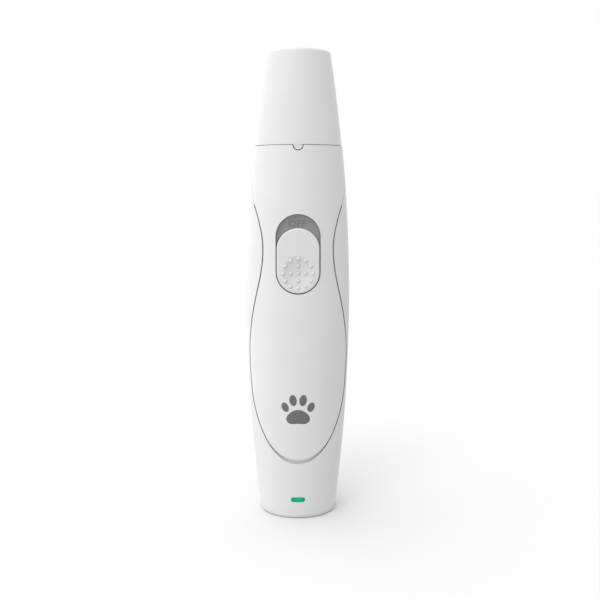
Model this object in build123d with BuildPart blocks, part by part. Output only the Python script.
"""Rechargeable pet nail grinder: a slim round housing in two shells, a lift-off cap over a motor-driven
grinding drum, and a slide switch on the front.

Frame: millimetres, +Z up, front towards -Y, origin at the middle of the flat base the grinder stands on.
"""

from build123d import *
from math import cos, radians, sin, sqrt
import os

os.makedirs("parts", exist_ok=True)

# ---- Driving dimensions -------------------------------------------------------------------------------

HEIGHT = 160.0
PARTING_Z = 128.2  # where the cap meets the housing
PARTING_GAP = 0.16
WALL = 2.0
CAP_WALL = 1.6
FLOOR = 2.2
CAP_ROUND = 1.2
FOOT_ROUND = 0.9
REACH = 40.0  # longer than the housing is wide, for cuts that run right through

# Outer radius at a height, for the housing and then for the cap.
BODY_PROFILE = [
    (13.3, 0.0),
    (14.75, 14.0),
    (16.35, 31.7),
    (17.53, 53.5),
    (17.93, 71.0),
    (17.67, 91.7),
    (16.87, 108.3),
    (15.94, 120.7),
    (15.2, PARTING_Z),
]
WIDEST_R = max(radius for radius, height in BODY_PROFILE)
CAP_PROFILE = [(14.98, PARTING_Z), (14.1, 137.0), (13.1, 145.0), (12.0, 153.0), (10.95, HEIGHT)]

# Front panel seam, half of it, as seen from the front: half-width at a height.
SEAM_BOTTOM_Z = 21.5
SEAM_BOTTOM_GAP = 1.35
SEAM_BOTTOM_REACH = 8.0  # height over which the bottom gap fades into the side gap
SEAM_SIDE_GAP = 0.5  # along the surface
SEAM_JOIN_R = 16.87  # radius of the housing where the half outline ends
SEAM_JOIN_SLOPE = (0.62, 1.0)  # how the seam leaves that point, seen from the side
SEAM_HALF = [
    (3.9, 22.2),
    (6.9, 23.85),
    (9.65, 26.45),
    (12.2, 30.8),
    (13.95, 35.2),
    (15.6, 42.0),
    (16.35, 50.0),
    (16.65, 58.0),
    (16.05, 66.8),
    (14.4, 76.3),
    (12.6, 84.3),
    (11.65, 91.3),
    (11.75, 96.7),
    (12.8, 102.2),
    (14.65, 108.3),
]
LIP_DEPTH = 0.8  # the seam's groove is this deep, down to the rear shell's lip
LIP_WIDTH = 1.6
LIP_FIT = 0.2
SIDE_SEAM = 0.3

# Slide switch, in its own plane: x across, y up along the housing, z out of it.
SLOT_BOTTOM_Z = 78.9
SLOT_TOP_Z = 105.5
SLOT_WIDTH = 14.9
SLOT_MID_Z = (SLOT_BOTTOM_Z + SLOT_TOP_Z) / 2
SWITCH_FACE_R = 17.46  # distance of the plane from the axis at the slot's middle
SWITCH_TILT = 1.77  # degrees that the plane leans back
SWITCH_TRAVEL = 4.3
KNOB_WIDTH = 14.2
KNOB_LENGTH = 21.7
KNOB_GAP = 0.3  # below the knob, switched off
KNOB_CREST = 0.05
KNOB_CROWN_R = 60.0
KNOB_BACK = -2.7
KNOB_EDGE = 0.55
DISH_PROFILE = [(0.0, 1.1), (2.55, 0.89), (4.95, 0.33), (5.55, 0.13), (6.1, 0.0)]  # distance out, depth
DISH_ABOVE_KNOB_END = 6.7
BUMP_R = 0.68
BUMP_SINK = 0.02
BUMP_RINGS = [(2.55, 0.89, 4), (4.95, 0.33, 12)]  # radius, depth of the dish there, count
DIAL_FACE = -3.0
DIAL_SEAT = -4.6
DIAL_BACK = -5.5
DIAL_FLANGE = (3.0, 1.8)  # how much longer and wider than the slot the dial's flange is
STEM_WIDTH = 4.0
STEM_LENGTH = 5.0
CARRIAGE_FRONT = -5.8
CARRIAGE_BACK = -6.9
CARRIAGE_LENGTH = 14.4
CARRIAGE_OFFSET = -2.2
FORK_BACK = -8.9
LEVER_BACK = -11.2
LEVER_OFFSET = -5.8  # lever centre from the knob's stem
LEVER_WIDTH = 3.0
LEVER_LENGTH = 3.6
FORK_WIDTH = 5.0
FORK_PRONG = 1.2
FORK_PLAY = 0.05
CASE_FRONT_Y = -8.3
CASE_WIDTH = 7.2
CASE_WALL = 0.7
CASE_MARGIN = 4.4  # the case beyond the lever's middle, at each end of its travel

# Cap key and nail port.
TAB_R = 1.53
TAB_BOTTOM_Z = 126.55
TAB_GAP = 0.28
PORT_R = 4.5
PORT_BEVEL = 0.8

# Collar that the cap slides over.
COLLAR_R = 12.9
COLLAR_FIT = 0.3
COLLAR_BORE_R = 11.4
COLLAR_BOTTOM_Z = 119.0
COLLAR_TOP_Z = 133.0
COLLAR_FLANGE_R = 13.75
BEAD_R = 0.35
BEAD_Z = 131.0
WEB_Z = 125.5
WEB_THICK = 1.6
WEB_HOLE_R = 3.7

# Motor, on the axis.
MOTOR_R = 10.2
MOTOR_BOTTOM_Z = 98.0
BELL_TOP_Z = 101.4
CAN_TOP_Z = 123.5
CAN_WALL = 0.5
BOSS_R = 3.4
BOSS_TOP_Z = 125.3
BUSH_SEAT_R = 2.52
BUSH_R = 2.5
BUSH_LENGTH = 2.4
SHAFT_R = 1.0
SHAFT_TOP_Z = 139.5
SHAFT_SEAT_R = 1.02
RUNNING_FIT = 0.03
ROTOR_R = 7.4
ROTOR_Z = (106.0, 118.0)
MAGNET_RADII = (7.9, 9.6)
MAGNET_Z = (104.0, 120.0)
MAGNET_ANGLE = 65.0  # half of what each magnet spans, in degrees
TERMINAL = (6.2, 3.0)  # x and y of the right-hand terminal
TERMINAL_SIZE = (2.0, 0.5, 4.4)
SADDLE_Z = (105.0, 116.0)
SADDLE_WALL = 1.4
SADDLE_FOOT = (12.0, 1.3)
SADDLE_SCREW_X = 4.2

# Grinding drum.
ARBOR_R = 3.0
ARBOR_BOTTOM_Z = 128.2
ARBOR_FLANGE_R = 4.4
DRUM_BOTTOM_Z = 137.6
DRUM_TOP_Z = 150.0
DRUM_CORE_R = 4.6
SLEEVE_R = 5.6
SCREW_HEAD_R = 2.6
SCREW_HEAD_TOP_Z = 151.8
SCREW_R = 1.2
SCREW_TIP_Z = 141.5

# Battery and circuit board.
CELL_R = 7.0
CELL_FIT = 0.1
CELL_EDGE = 0.5
CELL_Y = 4.6
CELL_Z = (24.5, 74.5)
BUTTON_R = 2.6
BUTTON_HEIGHT = 1.0
CRADLE_Z = (30.0, 69.0)
CRADLE_WALL = 1.15
CRADLE_RIB_Z = (44.0, 66.0)
CRADLE_RIB_Y = 14.5
PAD_WIDTH = 6.0
PAD_Z = (34.0, 64.0)
TAB_WIDTH = 5.0
TAB_THICK = 0.3
BOARD_WIDTH = 16.0
BOARD_Y = (-4.5, -3.3)
BOARD_Z = (3.2, 96.3)
BOARD_HOLES = [(6.0, 18.0), (-6.0, 18.0), (6.0, 76.0)]  # x, z
# Components on the front of the board: x, z, width, height, thickness.
CHIPS = [
    (0.0, 22.0, 4.9, 3.9, 1.4),
    (-4.2, 32.0, 3.0, 2.8, 1.1),
    (3.8, 36.0, 4.6, 4.6, 2.4),
    (-3.6, 46.0, 3.2, 1.6, 0.9),
    (0.8, 46.0, 3.2, 1.6, 0.9),
    (-1.0, 58.0, 5.2, 4.4, 1.6),
]
LED_Z = 6.93
LED_SIZE = (3.2, 1.1, 1.6)
WINDOW_WIDTH = 4.7
WINDOW_HEIGHT = 1.65
SOCKET_SIZE = (7.8, 2.7, 5.6)
SOCKET_WALL = 0.35
SOCKET_FIT = 0.25
TONGUE_WIDTH = 5.6
TONGUE_THICK = 0.7
SOCKET_Y = -1.9
SOCKET_MOUTH_Z = 0.9
LEAD_R = 0.55

# ---- Shared planes, outlines and solids ---------------------------------------------------------------

lean = radians(SWITCH_TILT)
switch_origin = (0, -SWITCH_FACE_R, SLOT_MID_Z)
SWITCH_PLANE = Plane(origin=switch_origin, x_dir=(1, 0, 0), z_dir=(0, -cos(lean), sin(lean)))
SWITCH_SECTION = Plane(origin=SWITCH_PLANE.origin, x_dir=(1, 0, 0), z_dir=SWITCH_PLANE.y_dir)
KNOB_Y = SLOT_BOTTOM_Z + KNOB_GAP + KNOB_LENGTH / 2 - SLOT_MID_Z
DISH_Y = KNOB_Y - KNOB_LENGTH / 2 + DISH_ABOVE_KNOB_END
SLOT_LENGTH = SLOT_TOP_Z - SLOT_BOTTOM_Z


def turned(profile, bottom, top, inset=0.0):
    """Solid of revolution about Z inside a profile of (radius, height) points, cut to a height range."""
    with BuildPart() as solid:
        with BuildSketch(Plane.YZ):
            with BuildLine():
                side = Spline(*[(radius - inset, height) for radius, height in profile])
                Polyline(side @ 1, (0, profile[-1][1]), (0, profile[0][1]), side @ 0)
            make_face()
        revolve(axis=Axis.Z)
        with BuildSketch(Plane.XY.offset(bottom)):
            Circle(REACH)
        extrude(amount=top - bottom, mode=Mode.INTERSECT)
    return solid.part


def seam_prism(side_gap, bottom_gap, back_y):
    """Everything in front of the panel's seam, grown by the gaps; above the join it is drawn side-on."""
    half = []
    for x, z in SEAM_HALF:
        outward = side_gap * sqrt(1 - (x / WIDEST_R) ** 2)
        downward = bottom_gap * max(0.0, 1 - (z - SEAM_BOTTOM_Z) / SEAM_BOTTOM_REACH) ** 2
        half.append((x + outward, z - downward))
    left = [(-x, z) for x, z in reversed(half)]
    join_x, join_z = half[-1]
    join_y = -sqrt(SEAM_JOIN_R**2 - join_x**2)
    with BuildPart() as prism:
        with BuildSketch(Plane.XZ):
            with BuildLine():
                rim = Spline(*left, (0, SEAM_BOTTOM_Z - bottom_gap), *half)
                Line(rim @ 1, rim @ 0)
            make_face()
        extrude(amount=REACH)
        with BuildSketch(Plane.YZ):
            with BuildLine():
                rise = Spline((join_y, join_z), (back_y, PARTING_Z), tangents=[SEAM_JOIN_SLOPE, (0, 1)])
                Polyline(rise @ 1, (-REACH, PARTING_Z), (-REACH, join_z), rise @ 0)
            make_face()
        extrude(amount=REACH, both=True)
    return prism.part


def tube(outer_r, inner_r, bottom, top):
    """Plain ring about Z."""
    with BuildPart() as ring:
        with BuildSketch(Plane.XY.offset(bottom)):
            Circle(outer_r)
            Circle(inner_r, mode=Mode.SUBTRACT)
        extrude(amount=top - bottom)
    return ring.part


def block(x_range, y_range, z_range):
    """Box between the corners given by three ranges."""
    sizes = [high - low for low, high in (x_range, y_range, z_range)]
    middle = [(low + high) / 2 for low, high in (x_range, y_range, z_range)]
    with BuildPart() as box:
        with Locations(tuple(middle)):
            Box(*sizes)
    return box.part


def on_switch(x, y, out):
    """Point given in the switch's plane."""
    return SWITCH_PLANE.from_local_coords((x, y, out))


def wire_run(points, bend):
    """Insulated lead along straight runs with round bends."""
    with BuildPart() as lead:
        with BuildLine() as route:
            FilletPolyline(*points, radius=bend)
        with BuildSketch(Plane(origin=route.line @ 0, z_dir=route.line % 0)):
            Circle(LEAD_R)
        sweep(path=route.line)
    return lead.part


def finish(part, name):
    """Label a piece and write it to its own file."""
    part.label = name
    export_step(part, f"parts/{name}.step")


# ---- Housing shells -----------------------------------------------------------------------------------

rim_z = PARTING_Z - PARTING_GAP / 2
blank = turned(BODY_PROFILE, 0.0, rim_z)
cavity = turned(BODY_PROFILE, FLOOR, rim_z, inset=WALL)
under_skin = turned(BODY_PROFILE, FLOOR, rim_z, inset=LIP_DEPTH)
panel_edge = seam_prism(0.0, 0.0, 0.0)
panel_tongue = seam_prism(-LIP_WIDTH, -LIP_WIDTH, -LIP_WIDTH)
opening_edge = seam_prism(SEAM_SIDE_GAP, SEAM_BOTTOM_GAP, SIDE_SEAM)
lip_edge = seam_prism(LIP_FIT - LIP_WIDTH, LIP_FIT - LIP_WIDTH, LIP_FIT - LIP_WIDTH)

with BuildPart() as front_shell:
    add(blank)
    add(cavity, mode=Mode.SUBTRACT)
    add(panel_edge, mode=Mode.INTERSECT)
    # Step round the edge, so that the rear shell's lip fits behind it.
    with BuildPart(mode=Mode.PRIVATE) as step:
        add(under_skin)
        add(panel_tongue, mode=Mode.SUBTRACT)
    add(step.part, mode=Mode.SUBTRACT)
    # Flat-backed frame round the switch slot, then the slot itself.
    with BuildPart(mode=Mode.PRIVATE) as frame:
        with BuildSketch(SWITCH_PLANE.offset(DIAL_SEAT)):
            SlotOverall(SLOT_LENGTH + 4.0, SLOT_WIDTH + 3.4, rotation=90)
        extrude(amount=-DIAL_SEAT)
        add(turned(BODY_PROFILE, FLOOR, rim_z, inset=WALL / 2), mode=Mode.INTERSECT)
    add(frame.part)
    with BuildSketch(SWITCH_PLANE.offset(DIAL_SEAT - 1)):
        SlotOverall(SLOT_LENGTH, SLOT_WIDTH, rotation=90)
    extrude(amount=REACH, mode=Mode.SUBTRACT)
    # Notch for the cap's key.
    with BuildSketch(Plane.XZ):
        with Locations((0, TAB_BOTTOM_Z + TAB_R)):
            Circle(TAB_R + TAB_GAP)
            Rectangle(2 * (TAB_R + TAB_GAP), 6, align=(Align.CENTER, Align.MIN))
    extrude(amount=REACH, mode=Mode.SUBTRACT)
finish(front_shell.part, "front_shell")

with BuildPart() as rear_shell:
    add(blank)
    add(cavity, mode=Mode.SUBTRACT)
    add(opening_edge, mode=Mode.SUBTRACT)
    with BuildPart(mode=Mode.PRIVATE) as lip:
        add(turned(BODY_PROFILE, FLOOR, rim_z, inset=LIP_DEPTH + 0.1))
        add(cavity, mode=Mode.SUBTRACT)
        add(lip_edge, mode=Mode.SUBTRACT)
    add(lip.part)
    # Round the foot, then cut the light window and the charging socket's mouth.
    foot = rear_shell.edges().filter_by(GeomType.CIRCLE).group_by(Axis.Z)[0]
    fillet(foot.sort_by(SortBy.LENGTH)[-1], FOOT_ROUND)
    with BuildSketch(Plane.XZ):
        with Locations((0, LED_Z)):
            SlotOverall(WINDOW_WIDTH + 0.2, WINDOW_HEIGHT + 0.2)
    extrude(amount=REACH, mode=Mode.SUBTRACT)
    with BuildSketch(Plane.XY.offset(-1)):
        with Locations((0, SOCKET_Y)):
            RectangleRounded(SOCKET_SIZE[0] + 2 * SOCKET_FIT, SOCKET_SIZE[1] + 2 * SOCKET_FIT, 1.0)
    extrude(amount=FLOOR + 2, mode=Mode.SUBTRACT)
finish(rear_shell.part, "rear_shell")

with BuildPart() as cap:
    add(turned(CAP_PROFILE, PARTING_Z + PARTING_GAP / 2, HEIGHT))
    fillet(cap.edges().group_by(Axis.Z)[-1], CAP_ROUND)
    add(turned(CAP_PROFILE, PARTING_Z, HEIGHT - CAP_WALL, inset=CAP_WALL), mode=Mode.SUBTRACT)
    add(tube(COLLAR_R + COLLAR_FIT, 1.0, PARTING_Z, COLLAR_TOP_Z + 0.6), mode=Mode.SUBTRACT)
    with BuildSketch(Plane.XY.offset(HEIGHT)):
        Circle(PORT_R)
    extrude(amount=-2 * CAP_WALL, mode=Mode.SUBTRACT)
    rims = cap.edges().filter_by(GeomType.CIRCLE).group_by(Axis.Z)[-1]
    chamfer(rims.sort_by(SortBy.LENGTH)[0], PORT_BEVEL)
    # Key that drops into the notch in the front shell.
    with BuildPart(mode=Mode.PRIVATE) as key:
        with BuildSketch(Plane.XZ):
            with Locations((0, TAB_BOTTOM_Z + TAB_R)):
                Circle(TAB_R)
                Rectangle(2 * TAB_R, 1.2, align=(Align.CENTER, Align.MIN))
        extrude(amount=REACH)
        add(tube(CAP_PROFILE[0][0] - 0.05, CAP_PROFILE[0][0] - CAP_WALL, TAB_BOTTOM_Z - 1, PARTING_Z + 2),
            mode=Mode.INTERSECT)
    add(key.part)
finish(cap.part, "cap")

# ---- Collar -------------------------------------------------------------------------------------------

with BuildPart() as nose_collar:
    add(tube(COLLAR_R, COLLAR_BORE_R, COLLAR_BOTTOM_Z, COLLAR_TOP_Z))
    add(tube(COLLAR_FLANGE_R, COLLAR_BORE_R, COLLAR_BOTTOM_Z, COLLAR_BOTTOM_Z + 1.8))
    add(tube(COLLAR_BORE_R + 0.1, WEB_HOLE_R, WEB_Z, WEB_Z + WEB_THICK))
    chamfer(nose_collar.edges().filter_by(GeomType.CIRCLE).group_by(Axis.Z)[-1], 0.5)
    with BuildSketch(Plane.XZ):
        with Locations((COLLAR_R - BEAD_R + 0.15, BEAD_Z)):
            Circle(BEAD_R)
    revolve(axis=Axis.Z)
finish(nose_collar.part, "nose_collar")

# ---- Slide switch -------------------------------------------------------------------------------------

with BuildPart() as switch_knob:
    with BuildSketch(SWITCH_PLANE.offset(KNOB_BACK)):
        with Locations((0, KNOB_Y)):
            SlotOverall(KNOB_LENGTH, KNOB_WIDTH, rotation=90)
    extrude(amount=4)
    with BuildSketch(SWITCH_SECTION):
        with Locations((0, KNOB_CROWN_R - KNOB_CREST)):
            Circle(KNOB_CROWN_R)
    extrude(amount=REACH / 2, both=True, mode=Mode.INTERSECT)
    outward = Axis(SWITCH_PLANE.origin, SWITCH_PLANE.z_dir)
    fillet(switch_knob.faces().sort_by(outward)[-1].outer_wire().edges(), KNOB_EDGE)
    # Finger dish with a soft rim, and round bumps standing on its floor.
    with BuildPart(mode=Mode.PRIVATE) as dish:
        dish_axis = Axis(on_switch(0, DISH_Y, KNOB_CREST), SWITCH_PLANE.z_dir)
        with BuildSketch(Plane(origin=dish_axis.position, x_dir=(1, 0, 0), z_dir=-SWITCH_PLANE.y_dir)):
            with BuildLine():
                rim_r = DISH_PROFILE[-1][0]
                sag = Spline(*[(out, -depth) for out, depth in DISH_PROFILE], tangents=[(1, 0), (1, 0)])
                Polyline(sag @ 1, (rim_r, 2), (0, 2), sag @ 0)
            make_face()
        revolve(axis=dish_axis)
    add(dish.part, mode=Mode.SUBTRACT)
    bumps = [on_switch(0, DISH_Y, KNOB_CREST - DISH_PROFILE[0][1] - BUMP_SINK)]
    for ring_r, depth, count in BUMP_RINGS:
        for step_angle in range(count):
            turn = radians(360 / count * step_angle)
            floor_z = KNOB_CREST - depth - BUMP_SINK
            bumps.append(on_switch(ring_r * sin(turn), DISH_Y + ring_r * cos(turn), floor_z))
    with Locations(*bumps):
        Sphere(BUMP_R, rotation=(90, 0, 0))
    # Stem through the dial plate to the carriage.
    with BuildSketch(SWITCH_PLANE.offset(KNOB_BACK + 0.1)):
        with Locations((0, KNOB_Y)):
            Rectangle(STEM_WIDTH, STEM_LENGTH)
    extrude(amount=CARRIAGE_BACK - KNOB_BACK - 0.1)
finish(switch_knob.part, "switch_knob")

with BuildPart() as dial_plate:
    with BuildSketch(SWITCH_PLANE.offset(DIAL_BACK)):
        SlotOverall(SLOT_LENGTH + DIAL_FLANGE[0], SLOT_WIDTH + DIAL_FLANGE[1], rotation=90)
    extrude(amount=DIAL_SEAT - 0.05 - DIAL_BACK)
    with BuildSketch(SWITCH_PLANE.offset(DIAL_BACK)):
        SlotOverall(SLOT_LENGTH - 0.2, SLOT_WIDTH - 0.2, rotation=90)
    extrude(amount=DIAL_FACE - DIAL_BACK)
    with BuildSketch(SWITCH_PLANE.offset(DIAL_BACK - 1)):
        with Locations((0, KNOB_Y + SWITCH_TRAVEL / 2)):
            Rectangle(STEM_WIDTH + 0.8, STEM_LENGTH + SWITCH_TRAVEL + 0.6)
    extrude(amount=REACH / 2, mode=Mode.SUBTRACT)
finish(dial_plate.part, "dial_plate")

with BuildPart() as switch_carriage:
    with BuildSketch(SWITCH_PLANE.offset(CARRIAGE_BACK)):
        with Locations((0, KNOB_Y + CARRIAGE_OFFSET)):
            RectangleRounded(9.0, CARRIAGE_LENGTH, 1.0)
        with Locations((0, KNOB_Y)):
            Rectangle(STEM_WIDTH + 0.1, STEM_LENGTH + 0.1, mode=Mode.SUBTRACT)
    extrude(amount=CARRIAGE_FRONT - CARRIAGE_BACK)
    # Fork that holds the electrical switch's lever.
    with BuildSketch(SWITCH_PLANE.offset(FORK_BACK)):
        for side in (-1, 1):
            reach = LEVER_LENGTH / 2 + FORK_PLAY + FORK_PRONG / 2
            with Locations((0, KNOB_Y + LEVER_OFFSET + side * reach)):
                Rectangle(FORK_WIDTH, FORK_PRONG)
    extrude(amount=CARRIAGE_BACK - FORK_BACK + 0.2)
finish(switch_carriage.part, "switch_carriage")

with BuildPart() as switch_lever:
    with BuildSketch(SWITCH_PLANE.offset(LEVER_BACK)):
        with Locations((0, KNOB_Y + LEVER_OFFSET)):
            Rectangle(LEVER_WIDTH, LEVER_LENGTH)
    extrude(amount=CARRIAGE_BACK - 0.3 - LEVER_BACK)
    fillet(switch_lever.edges().group_by(outward)[-1], 0.3)
finish(switch_lever.part, "switch_lever")

# Electrical switch on the board, with the window its lever slides in.
lever_z = SLOT_MID_Z + KNOB_Y + LEVER_OFFSET
lever_half = LEVER_LENGTH / 2 + 0.4
case_half = CASE_WIDTH / 2
hollow_half = case_half - CASE_WALL
case_z = (lever_z - CASE_MARGIN, lever_z + SWITCH_TRAVEL + CASE_MARGIN)
hollow_y = (CASE_FRONT_Y + CASE_WALL, BOARD_Y[0] - CASE_WALL)
hollow_z = (case_z[0] + CASE_WALL, case_z[1] - CASE_WALL)
window_half = LEVER_WIDTH / 2 + 0.4
window_y = (CASE_FRONT_Y - 1, CASE_FRONT_Y + 1)
window_z = (lever_z - lever_half, lever_z + SWITCH_TRAVEL + lever_half)
with BuildPart() as switch_case:
    add(block((-case_half, case_half), (CASE_FRONT_Y, BOARD_Y[0]), case_z))
    add(block((-hollow_half, hollow_half), hollow_y, hollow_z), mode=Mode.SUBTRACT)
    add(block((-window_half, window_half), window_y, window_z), mode=Mode.SUBTRACT)
finish(switch_case.part, "switch_case")

# ---- Motor --------------------------------------------------------------------------------------------

with BuildPart() as motor_can:
    add(tube(MOTOR_R, MOTOR_R - CAN_WALL, BELL_TOP_Z, CAN_TOP_Z))
    add(tube(MOTOR_R, BUSH_SEAT_R, CAN_TOP_Z - CAN_WALL, CAN_TOP_Z))
    add(tube(BOSS_R, BUSH_SEAT_R, CAN_TOP_Z - CAN_WALL, BOSS_TOP_Z))
    shoulder = motor_can.edges().filter_by(GeomType.CIRCLE).group_by(Axis.Z)[-2]
    fillet(shoulder.sort_by(SortBy.LENGTH)[-1], 0.4)
finish(motor_can.part, "motor_can")

with BuildPart() as motor_end_bell:
    add(tube(MOTOR_R - CAN_WALL - 0.05, BUSH_SEAT_R, MOTOR_BOTTOM_Z, BELL_TOP_Z))
    for side in (-1, 1):
        with Locations((side * TERMINAL[0], TERMINAL[1], MOTOR_BOTTOM_Z)):
            Box(TERMINAL_SIZE[0] + 0.2, TERMINAL_SIZE[1] + 0.4, 3.0, mode=Mode.SUBTRACT)
finish(motor_end_bell.part, "motor_end_bell")

with BuildPart() as motor_terminals:
    for side in (-1, 1):
        with Locations((side * TERMINAL[0], TERMINAL[1], MOTOR_BOTTOM_Z - 0.9)):
            Box(*TERMINAL_SIZE)
finish(motor_terminals.part, "motor_terminals")

with BuildPart() as motor_bushes:
    add(tube(BUSH_R, SHAFT_R + RUNNING_FIT, BOSS_TOP_Z - BUSH_LENGTH, BOSS_TOP_Z))
    add(tube(BUSH_R, SHAFT_R + RUNNING_FIT, MOTOR_BOTTOM_Z + 0.4, MOTOR_BOTTOM_Z + 0.4 + BUSH_LENGTH))
finish(motor_bushes.part, "motor_bushes")

with BuildPart() as motor_magnets:
    with BuildSketch(Plane.XY.offset(MAGNET_Z[0])):
        for middle in (0, 180):
            with BuildLine():
                start = middle - MAGNET_ANGLE
                outer = CenterArc((0, 0), MAGNET_RADII[1], start, 2 * MAGNET_ANGLE)
                inner = CenterArc((0, 0), MAGNET_RADII[0], start, 2 * MAGNET_ANGLE)
                Line(outer @ 0, inner @ 0)
                Line(outer @ 1, inner @ 1)
            make_face()
    extrude(amount=MAGNET_Z[1] - MAGNET_Z[0])
finish(motor_magnets.part, "motor_magnets")

with BuildPart() as motor_damper:
    add(tube(9.3, BOSS_R + 0.1, CAN_TOP_Z + 0.05, WEB_Z - 0.05))
    with PolarLocations(6.6, 6):
        with Locations((0, 0, WEB_Z - 1)):
            Cylinder(1.2, 6, mode=Mode.SUBTRACT)
finish(motor_damper.part, "motor_damper")

# Saddle behind the motor, with two screw holes in its foot.
saddle_bore = MOTOR_R + 0.1
foot_y = saddle_bore + SADDLE_WALL + SADDLE_FOOT[1] / 2 - 0.3
screw_z = (SADDLE_Z[0] + SADDLE_Z[1]) / 2
with BuildPart() as motor_saddle:
    with BuildSketch(Plane.XY.offset(SADDLE_Z[0])):
        Circle(saddle_bore + SADDLE_WALL)
        Circle(saddle_bore, mode=Mode.SUBTRACT)
        Rectangle(REACH, REACH, align=(Align.CENTER, Align.MAX), mode=Mode.SUBTRACT)
        with Locations((0, foot_y)):
            Rectangle(*SADDLE_FOOT)
    extrude(amount=SADDLE_Z[1] - SADDLE_Z[0])
    with Locations((SADDLE_SCREW_X, foot_y, screw_z), (-SADDLE_SCREW_X, foot_y, screw_z)):
        Cylinder(0.85, 6, rotation=(90, 0, 0), mode=Mode.SUBTRACT)
finish(motor_saddle.part, "motor_saddle")

# ---- Spindle and grinding drum ------------------------------------------------------------------------

with BuildPart() as motor_shaft:
    with Locations((0, 0, MOTOR_BOTTOM_Z + 0.6)):
        Cylinder(SHAFT_R, SHAFT_TOP_Z - MOTOR_BOTTOM_Z - 0.6, align=(Align.CENTER, Align.CENTER, Align.MIN))
    chamfer(motor_shaft.edges(), 0.15)
finish(motor_shaft.part, "motor_shaft")

with BuildPart() as rotor:
    with BuildSketch(Plane.XY.offset(ROTOR_Z[0])):
        Circle(ROTOR_R)
        with PolarLocations(ROTOR_R - 2.2, 3):
            Rectangle(5.2, 1.6, mode=Mode.SUBTRACT)
        Circle(SHAFT_SEAT_R, mode=Mode.SUBTRACT)
    extrude(amount=ROTOR_Z[1] - ROTOR_Z[0])
finish(rotor.part, "rotor")

with BuildPart() as commutator:
    add(tube(2.3, SHAFT_SEAT_R, BELL_TOP_Z + 0.3, ROTOR_Z[0] - 0.3))
    add(tube(3.1, SHAFT_SEAT_R, ROTOR_Z[0] - 1.1, ROTOR_Z[0] - 0.3))
finish(commutator.part, "commutator")

with BuildPart() as arbor:
    add(tube(ARBOR_R, SHAFT_SEAT_R, ARBOR_BOTTOM_Z, DRUM_BOTTOM_Z))
    add(tube(ARBOR_FLANGE_R, SHAFT_SEAT_R, DRUM_BOTTOM_Z - 1.5, DRUM_BOTTOM_Z))
    chamfer(arbor.edges().filter_by(GeomType.CIRCLE).group_by(Axis.Z)[0], 0.3)
finish(arbor.part, "arbor")

with BuildPart() as drum_core:
    add(tube(DRUM_CORE_R, SCREW_R + 0.05, DRUM_BOTTOM_Z + 0.05, DRUM_TOP_Z))
    add(tube(SLEEVE_R - 0.2, SCREW_R + 0.05, DRUM_TOP_Z - 0.6, DRUM_TOP_Z))
finish(drum_core.part, "drum_core")

with BuildPart() as abrasive_sleeve:
    add(tube(SLEEVE_R, DRUM_CORE_R + 0.03, DRUM_BOTTOM_Z + 0.1, DRUM_TOP_Z - 0.7))
    fillet(abrasive_sleeve.edges().filter_by(GeomType.CIRCLE).sort_by(SortBy.LENGTH)[-2:], 0.25)
finish(abrasive_sleeve.part, "abrasive_sleeve")

with BuildPart() as drum_screw:
    with BuildSketch(Plane.XZ):
        with BuildLine():
            Polyline((0, SCREW_TIP_Z), (SCREW_R, SCREW_TIP_Z), (SCREW_R, DRUM_TOP_Z + 0.05),
                     (SCREW_HEAD_R, DRUM_TOP_Z + 0.05), (SCREW_HEAD_R, SCREW_HEAD_TOP_Z - 0.7))
            ThreePointArc((SCREW_HEAD_R, SCREW_HEAD_TOP_Z - 0.7), (1.6, SCREW_HEAD_TOP_Z - 0.2),
                          (0, SCREW_HEAD_TOP_Z))
            Line((0, SCREW_HEAD_TOP_Z), (0, SCREW_TIP_Z))
        make_face()
    revolve(axis=Axis.Z)
    with Locations((0, 0, SCREW_HEAD_TOP_Z)):
        Box(3.4, 0.6, 1.6, mode=Mode.SUBTRACT)
        Box(0.6, 3.4, 1.6, mode=Mode.SUBTRACT)
finish(drum_screw.part, "drum_screw")

# ---- Battery ------------------------------------------------------------------------------------------

with BuildPart() as battery_cell:
    with BuildSketch(Plane.XY.offset(CELL_Z[0])):
        with Locations((0, CELL_Y)):
            Circle(CELL_R)
    extrude(amount=CELL_Z[1] - CELL_Z[0] - BUTTON_HEIGHT)
    fillet(battery_cell.edges().filter_by(GeomType.CIRCLE), CELL_EDGE)
    with BuildSketch(Plane.XY.offset(CELL_Z[1])):
        with Locations((0, CELL_Y)):
            Circle(BUTTON_R)
    extrude(amount=-BUTTON_HEIGHT - 0.1)
finish(battery_cell.part, "battery_cell")

tab_x = (-TAB_WIDTH / 2, TAB_WIDTH / 2)
tab_y = (CELL_Y - 5.0, CELL_Y + 3.0)
with BuildPart() as battery_tabs:
    add(block(tab_x, tab_y, (CELL_Z[0] - 0.05 - TAB_THICK, CELL_Z[0] - 0.05)))
    add(block(tab_x, tab_y, (CELL_Z[1] + 0.05, CELL_Z[1] + 0.05 + TAB_THICK)))
finish(battery_tabs.part, "battery_tabs")

with BuildPart() as battery_cradle:
    with BuildSketch(Plane.XY.offset(CRADLE_Z[0])):
        with Locations((0, CELL_Y)):
            Circle(CELL_R + CELL_FIT + CRADLE_WALL)
            Circle(CELL_R + CELL_FIT, mode=Mode.SUBTRACT)
            Rectangle(REACH, REACH, align=(Align.CENTER, Align.MAX), mode=Mode.SUBTRACT)
    extrude(amount=CRADLE_Z[1] - CRADLE_Z[0])
    add(block((-3.0, 3.0), (CELL_Y + CELL_R + CRADLE_WALL / 2, CRADLE_RIB_Y), CRADLE_RIB_Z))
finish(battery_cradle.part, "battery_cradle")

pad_x = (-PAD_WIDTH / 2, PAD_WIDTH / 2)
battery_pad = block(pad_x, (BOARD_Y[1] + 0.05, CELL_Y - CELL_R - 0.05), PAD_Z)
finish(battery_pad, "battery_pad")

# ---- Circuit board and charging -----------------------------------------------------------------------

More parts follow.
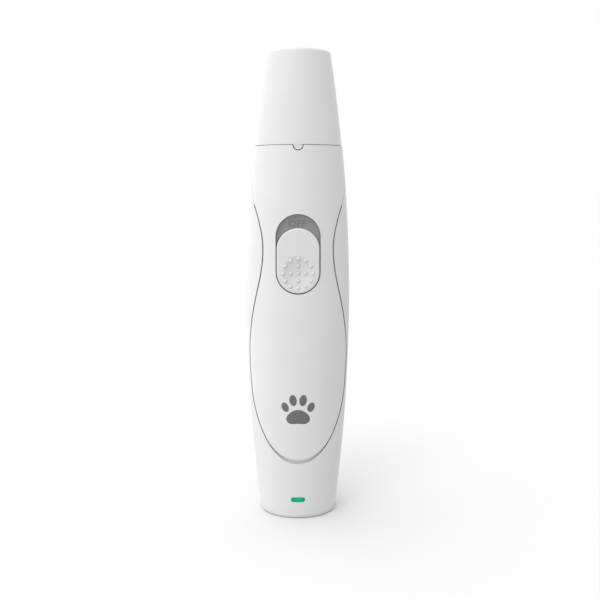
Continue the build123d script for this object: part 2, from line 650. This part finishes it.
with BuildPart() as circuit_board:
    with BuildSketch(Plane.XZ.offset(-BOARD_Y[1])):
        with Locations((0, BOARD_Z[0])):
            Rectangle(BOARD_WIDTH, BOARD_Z[1] - BOARD_Z[0], align=(Align.CENTER, Align.MIN))
    extrude(amount=BOARD_Y[1] - BOARD_Y[0])
    fillet(circuit_board.edges().filter_by(Axis.Y), 1.5)
    with Locations(*[(x, BOARD_Y[0], z) for x, z in BOARD_HOLES]):
        Cylinder(0.9, 6, rotation=(90, 0, 0), mode=Mode.SUBTRACT)
finish(circuit_board.part, "circuit_board")

with BuildPart() as board_components:
    for x, z, width, tall, thick in CHIPS:
        add(block((x - width / 2, x + width / 2), (BOARD_Y[0] - 0.05 - thick, BOARD_Y[0] - 0.05),
                  (z - tall / 2, z + tall / 2)))
finish(board_components.part, "board_components")

led_back = BOARD_Y[0] - 0.05
led_face = led_back - LED_SIZE[1]
led_x = (-LED_SIZE[0] / 2, LED_SIZE[0] / 2)
led = block(led_x, (led_face, led_back), (LED_Z - LED_SIZE[2] / 2, LED_Z + LED_SIZE[2] / 2))
finish(led, "led")

with BuildPart() as light_window:
    with BuildSketch(Plane.XZ.offset(-led_face + 0.2)):
        with Locations((0, LED_Z)):
            SlotOverall(WINDOW_WIDTH, WINDOW_HEIGHT)
    extrude(amount=REACH / 2)
    add(turned(BODY_PROFILE, 0.0, rim_z, inset=0.05), mode=Mode.INTERSECT)
finish(light_window.part, "light_window")

with BuildPart() as charge_socket:
    with BuildSketch(Plane.XY.offset(SOCKET_MOUTH_Z)):
        with Locations((0, SOCKET_Y)):
            RectangleRounded(SOCKET_SIZE[0], SOCKET_SIZE[1], 0.9)
    extrude(amount=SOCKET_SIZE[2])
    with BuildSketch(Plane.XY.offset(SOCKET_MOUTH_Z - 1)):
        with Locations((0, SOCKET_Y)):
            RectangleRounded(SOCKET_SIZE[0] - 2 * SOCKET_WALL, SOCKET_SIZE[1] - 2 * SOCKET_WALL, 0.6)
    extrude(amount=SOCKET_SIZE[2] + 0.4, mode=Mode.SUBTRACT)
finish(charge_socket.part, "charge_socket")

socket_roof = SOCKET_MOUTH_Z + SOCKET_SIZE[2] - 0.65
tongue_x = (-TONGUE_WIDTH / 2, TONGUE_WIDTH / 2)
tongue_y = (SOCKET_Y - TONGUE_THICK / 2, SOCKET_Y + TONGUE_THICK / 2)
socket_tongue = block(tongue_x, tongue_y, (SOCKET_MOUTH_Z + 0.8, socket_roof))
finish(socket_tongue, "socket_tongue")

# ---- Leads --------------------------------------------------------------------------------------------

with BuildPart() as motor_leads:
    for side in (-1, 1):
        add(wire_run([(side * 5.0, BOARD_Y[1] + 0.1, 92.0), (side * 5.0, 0.4, 92.0),
                      (side * 6.2, 2.6, 94.9)], 1.2))
finish(motor_leads.part, "motor_leads")

with BuildPart() as battery_leads:
    for side, tab_z, board_z in ((-1, CELL_Z[0] - 1.0, 14.0), (1, CELL_Z[1] + 1.0, 84.0)):
        add(wire_run([(side * 4.0, BOARD_Y[1] + 0.1, board_z), (side * 4.0, 1.0, board_z),
                      (side * 1.5, CELL_Y - 2.0, tab_z)], 1.2))
finish(battery_leads.part, "battery_leads")
